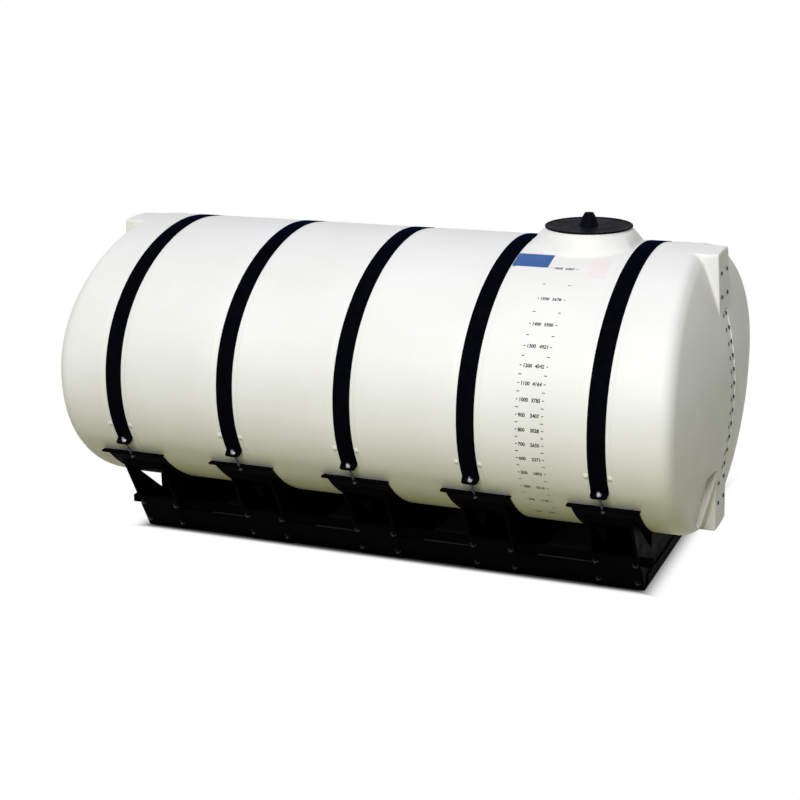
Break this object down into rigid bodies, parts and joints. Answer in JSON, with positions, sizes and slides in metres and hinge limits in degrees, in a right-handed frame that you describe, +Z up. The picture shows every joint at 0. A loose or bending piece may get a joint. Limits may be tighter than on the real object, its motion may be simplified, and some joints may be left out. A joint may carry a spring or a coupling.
{
  "type": "elliptical storage tank",
  "caption": "Horizontal oval plastic liquid tank with a round screw lid, held by black bands on a welded steel cradle skid.",
  "frame": {"origin": "on the ground, under the middle of the tank", "axes": "+X along the tank towards the fill lid, +Y across it away from the scale side, +Z up"},
  "size_m": [3.304, 1.783, 1.7205],
  "materials": {
    "tank": "satin, slightly waxy moulded polyethylene",
    "lid": "black moulded plastic",
    "band": "black powder coat",
    "skid": "black paint over steel",
    "zinc": "bright zinc"
  },
  "bodies": {
    "base": {"tank_barrel": "tank", "tank_end_left": "tank", "tank_end_right": "tank", "fill_collar": "tank", "band_1": "band", "band_2": "band", "band_3": "band", "band_4": "band", "band_5": "band", "tie_rods_1": "zinc", "tie_rods_2": "zinc", "tie_rods_3": "zinc", "tie_rods_4": "zinc", "tie_rods_5": "zinc", "saddle_pad_1": "skid", "saddle_pad_2": "skid", "saddle_pad_3": "skid", "saddle_pad_4": "skid", "saddle_pad_5": "skid", "saddle_webs_1": "skid", "saddle_webs_2": "skid", "saddle_webs_3": "skid", "saddle_webs_4": "skid", "saddle_webs_5": "skid", "saddle_sides_1": "skid", "saddle_sides_2": "skid", "saddle_sides_3": "skid", "saddle_sides_4": "skid", "saddle_sides_5": "skid", "saddle_foot_1": "skid", "saddle_foot_2": "skid", "saddle_foot_3": "skid", "saddle_foot_4": "skid", "saddle_foot_5": "skid", "rail_near": "skid", "rail_far": "skid", "stringer_near": "skid", "stringer_far": "skid", "end_beam_left": "skid", "end_beam_right": "skid"},
    "lid_body": {"lid": "lid", "lid_vent": "lid"}
  },
  "joints": [
    {"name": "lid_turn", "type": "hinge", "parent": "base", "child": "lid_body", "pos_m": [0.93, 0, 1.6395], "axis": [0, 0, 1], "range_deg": [0, 270]}
  ]
}
